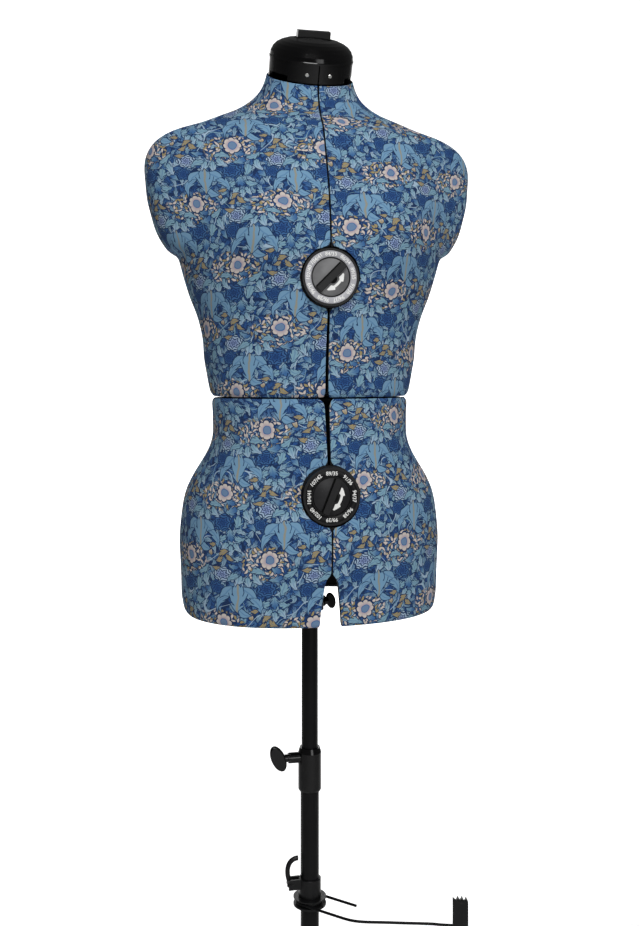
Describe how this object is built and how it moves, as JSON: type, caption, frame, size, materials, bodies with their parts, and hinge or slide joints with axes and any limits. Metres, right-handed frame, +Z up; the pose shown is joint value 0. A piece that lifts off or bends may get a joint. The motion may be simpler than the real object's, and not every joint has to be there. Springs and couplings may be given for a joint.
{
  "type": "dress form mannequin",
  "caption": "Adjustable half-body dress form with fabric-covered panels, width dials, neck cap, sliding pole, hem marker and a four-legged stand.",
  "frame": {"origin": "on the floor, on the pole's axis, at the middle of the outline", "axes": "+Z up along the pole, the torso's front faces -Y, the form's left side is +X"},
  "size_m": [0.546, 0.546, 1.4644],
  "materials": {
    "stand_plastic": "satin black moulded plastic",
    "pole_metal": "satin black powder coat",
    "black_plastic": "glossy black",
    "inner_plastic": "dark matte",
    "shell_plastic": "dark grey matte moulding",
    "floral_fabric": "woven cotton with a blue floral print over thin foam",
    "dial_grey": "silver grey moulded dial",
    "dial_black": "black moulded dial",
    "rubber": "matte",
    "bright_steel": "bright",
    "clip_plastic": "satin black"
  },
  "bodies": {
    "stand": {"base_hub": "stand_plastic", "leg_left": "stand_plastic", "leg_right": "stand_plastic", "leg_front": "stand_plastic", "leg_back": "stand_plastic", "foot_left": "rubber", "foot_right": "rubber", "foot_front": "rubber", "foot_back": "rubber", "lower_tube": "pole_metal", "height_clamp": "black_plastic"},
    "mast": {"upper_tube": "pole_metal", "lower_spider": "inner_plastic"},
    "height_knob": {"height_screw": "black_plastic"},
    "support_knob": {"lower_support_screw": "black_plastic"},
    "upper_frame": {"upper_spider": "inner_plastic", "neck_band": "black_plastic", "neck_screw_left": "bright_steel", "neck_screw_right": "bright_steel", "neck_cap": "black_plastic"},
    "neck_knob": {"neck_dial": "black_plastic"},
    "hem_clamp": {"hem_collar": "clip_plastic"},
    "hem_latch": {"hem_lever": "clip_plastic"},
    "hem_turn": {"hem_swivel": "clip_plastic", "hem_arm": "pole_metal", "hem_jaw_fixed": "clip_plastic"},
    "hem_clip": {"hem_jaw_moving": "clip_plastic"},
    "upper_front_slide": {"upper_front_carriage": "inner_plastic"},
    "upper_front_knob": {"upper_front_dial": "dial_grey"},
    "upper_front_left": {"upper_front_left_shell": "shell_plastic", "upper_front_left_cover": "floral_fabric", "upper_front_left_rack": "inner_plastic"},
    "upper_front_right": {"upper_front_right_shell": "shell_plastic", "upper_front_right_cover": "floral_fabric", "upper_front_right_rack": "inner_plastic"},
    "upper_back_slide": {"upper_back_carriage": "inner_plastic"},
    "upper_back_knob": {"upper_back_dial": "dial_grey"},
    "upper_back_left": {"upper_back_left_shell": "shell_plastic", "upper_back_left_cover": "floral_fabric", "upper_back_left_rack": "inner_plastic"},
    "upper_back_right": {"upper_back_right_shell": "shell_plastic", "upper_back_right_cover": "floral_fabric", "upper_back_right_rack": "inner_plastic"},
    "lower_front_slide": {"lower_front_carriage": "inner_plastic"},
    "lower_front_knob": {"lower_front_dial": "dial_black"},
    "lower_front_left": {"lower_front_left_shell": "shell_plastic", "lower_front_left_cover": "floral_fabric", "lower_front_left_rack": "inner_plastic"},
    "lower_front_right": {"lower_front_right_shell": "shell_plastic", "lower_front_right_cover": "floral_fabric", "lower_front_right_rack": "inner_plastic"},
    "lower_back_slide": {"lower_back_carriage": "inner_plastic"},
    "lower_back_knob": {"lower_back_dial": "dial_black"},
    "lower_back_left": {"lower_back_left_shell": "shell_plastic", "lower_back_left_cover": "floral_fabric", "lower_back_left_rack": "inner_plastic"},
    "lower_back_right": {"lower_back_right_shell": "shell_plastic", "lower_back_right_cover": "floral_fabric", "lower_back_right_rack": "inner_plastic"}
  },
  "joints": [
    {"name": "mast_height", "type": "slide", "parent": "stand", "child": "mast", "axis": [0, 0, 1], "range_m": [-0.14, 0.2]},
    {"name": "height_screw_turn", "type": "hinge", "parent": "stand", "child": "height_knob", "pos_m": [-0.04, 0, 0.582], "axis": [1, 0, 0], "range_deg": [0, 360]},
    {"name": "support_screw_turn", "type": "hinge", "parent": "mast", "child": "support_knob", "pos_m": [0.026, 0, 0.771], "axis": [1, 0, 0], "range_deg": [0, 360]},
    {"name": "waist_length", "type": "slide", "parent": "mast", "child": "upper_frame", "axis": [0, 0, 1], "range_m": [0, 0.05]},
    {"name": "neck_dial_turn", "type": "hinge", "parent": "upper_frame", "child": "neck_knob", "pos_m": [0, 0, 1.411], "axis": [0, -0.4226, 0.9063], "range_deg": [0, 90]},
    {"name": "hem_height", "type": "slide", "parent": "stand", "child": "hem_clamp", "axis": [0, 0, 1], "range_m": [-0.25, 0.06]},
    {"name": "hem_lever_turn", "type": "hinge", "parent": "hem_clamp", "child": "hem_latch", "pos_m": [-0.0238, 0, 0.4295], "axis": [0, 1, 0], "range_deg": [-95, 0]},
    {"name": "hem_arm_turn", "type": "hinge", "parent": "hem_clamp", "child": "hem_turn", "pos_m": [0, 0, 0.408], "axis": [0, 0, 1], "continuous": true},
    {"name": "hem_clip_turn", "type": "hinge", "parent": "hem_turn", "child": "hem_clip", "pos_m": [0.15886, -0.09599, 0.384], "axis": [0.9576, -0.2882, 0], "range_deg": [0, 20], "stiffness_Nm_per_rad": 0.02, "springref_deg": -5.73},
    {"name": "upper_front_depth", "type": "slide", "parent": "upper_frame", "child": "upper_front_slide", "axis": [0, -1, 0], "range_m": [0, 0.015]},
    {"name": "upper_front_dial_turn", "type": "hinge", "parent": "upper_front_slide", "child": "upper_front_knob", "pos_m": [0, -0.1, 1.157], "axis": [0, 1, 0], "range_deg": [0, 95]},
    {"name": "upper_front_left_width", "type": "slide", "parent": "upper_front_slide", "child": "upper_front_left", "axis": [1, 0, 0], "range_m": [0, 0.02]},
    {"name": "upper_front_right_width", "type": "slide", "parent": "upper_front_slide", "child": "upper_front_right", "axis": [-1, 0, 0], "range_m": [0, 0.02]},
    {"name": "upper_back_depth", "type": "slide", "parent": "upper_frame", "child": "upper_back_slide", "axis": [0, 1, 0], "range_m": [0, 0.015]},
    {"name": "upper_back_dial_turn", "type": "hinge", "parent": "upper_back_slide", "child": "upper_back_knob", "pos_m": [0, 0.1, 1.157], "axis": [0, 1, 0], "range_deg": [0, 95]},
    {"name": "upper_back_left_width", "type": "slide", "parent": "upper_back_slide", "child": "upper_back_left", "axis": [1, 0, 0], "range_m": [0, 0.02]},
    {"name": "upper_back_right_width", "type": "slide", "parent": "upper_back_slide", "child": "upper_back_right", "axis": [-1, 0, 0], "range_m": [0, 0.02]},
    {"name": "lower_front_depth", "type": "slide", "parent": "mast", "child": "lower_front_slide", "axis": [0, -1, 0], "range_m": [0, 0.015]},
    {"name": "lower_front_dial_turn", "type": "hinge", "parent": "lower_front_slide", "child": "lower_front_knob", "pos_m": [0, -0.1, 0.912], "axis": [0, 1, 0], "range_deg": [0, 95]},
    {"name": "lower_front_left_width", "type": "slide", "parent": "lower_front_slide", "child": "lower_front_left", "axis": [1, 0, 0], "range_m": [0, 0.02]},
    {"name": "lower_front_right_width", "type": "slide", "parent": "lower_front_slide", "child": "lower_front_right", "axis": [-1, 0, 0], "range_m": [0, 0.02]},
    {"name": "lower_back_depth", "type": "slide", "parent": "mast", "child": "lower_back_slide", "axis": [0, 1, 0], "range_m": [0, 0.015]},
    {"name": "lower_back_dial_turn", "type": "hinge", "parent": "lower_back_slide", "child": "lower_back_knob", "pos_m": [0, 0.1, 0.912], "axis": [0, 1, 0], "range_deg": [0, 95]},
    {"name": "lower_back_left_width", "type": "slide", "parent": "lower_back_slide", "child": "lower_back_left", "axis": [1, 0, 0], "range_m": [0, 0.02]},
    {"name": "lower_back_right_width", "type": "slide", "parent": "lower_back_slide", "child": "lower_back_right", "axis": [-1, 0, 0], "range_m": [0, 0.02]}
  ],
  "couplings": [
    {"joint": "upper_front_left_width", "follows": "upper_front_dial_turn", "m_per_rad": 0.012},
    {"joint": "upper_front_right_width", "follows": "upper_front_dial_turn", "m_per_rad": 0.012},
    {"joint": "upper_back_left_width", "follows": "upper_back_dial_turn", "m_per_rad": 0.012},
    {"joint": "upper_back_right_width", "follows": "upper_back_dial_turn", "m_per_rad": 0.012},
    {"joint": "lower_front_left_width", "follows": "lower_front_dial_turn", "m_per_rad": 0.012},
    {"joint": "lower_front_right_width", "follows": "lower_front_dial_turn", "m_per_rad": 0.012},
    {"joint": "lower_back_left_width", "follows": "lower_back_dial_turn", "m_per_rad": 0.012},
    {"joint": "lower_back_right_width", "follows": "lower_back_dial_turn", "m_per_rad": 0.012}
  ]
}
